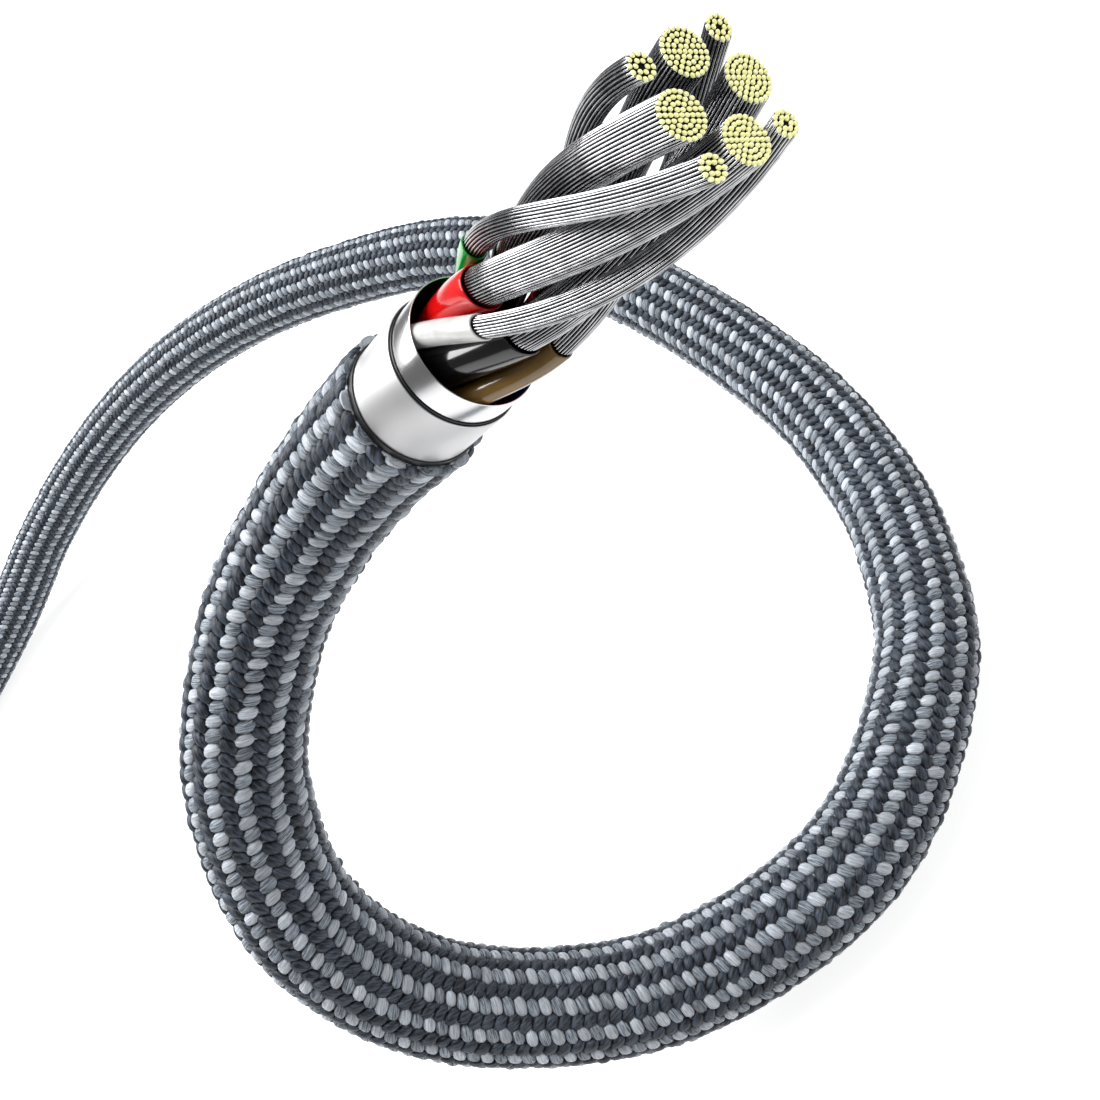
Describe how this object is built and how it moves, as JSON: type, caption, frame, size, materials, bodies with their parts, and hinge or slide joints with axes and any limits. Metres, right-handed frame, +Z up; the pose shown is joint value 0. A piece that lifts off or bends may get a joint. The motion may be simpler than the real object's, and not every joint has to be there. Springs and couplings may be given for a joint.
{
  "type": "cut-open braided charging cable",
  "caption": "Round braided charging cable cut open at one end to show its sleeves, insulated cores and bare strands, the rest wound in a coil with a small plug on it.",
  "frame": {"origin": "centre of the footprint, on the floor the cable lies on", "axes": "+Z up, +X from the coil towards the cut-open end, +Y across"},
  "size_m": [0.1555, 0.0629, 0.0362],
  "materials": {
    "braid": "two-tone grey braided yarn with a slight sheen",
    "black_film": "smooth black",
    "foil": "bright polished foil",
    "tinned_copper": "fine bright strands with yellow copper cut ends",
    "red_plastic": "glossy",
    "green_plastic": "glossy",
    "white_plastic": "glossy",
    "black_plastic": "glossy",
    "brown_plastic": "glossy",
    "blue_plastic": "glossy",
    "plug_grey": "fine satin grey plastic",
    "plated_steel": "bright plated steel"
  },
  "bodies": {
    "root": {"braided_cable": "braid", "coiled_cable": "braid", "cable_lead": "braid", "inner_jacket": "black_film", "outer_shield_sleeve": "foil", "separator_film": "black_film", "inner_foil_sleeve": "foil", "strain_relief": "plug_grey", "plug_housing": "plug_grey", "plug_shell": "plated_steel", "contact_carrier": "black_film", "white_insulation": "white_plastic", "white_conductor": "tinned_copper", "red_insulation": "red_plastic", "red_conductor": "tinned_copper", "green_insulation": "green_plastic", "green_conductor": "tinned_copper", "second_black_insulation": "black_plastic", "second_black_conductor": "tinned_copper", "blue_insulation": "blue_plastic", "blue_conductor": "tinned_copper", "second_red_insulation": "red_plastic", "second_red_conductor": "tinned_copper", "brown_insulation": "brown_plastic", "brown_conductor": "tinned_copper", "black_insulation": "black_plastic", "black_conductor": "tinned_copper"}
  },
  "joints": []
}
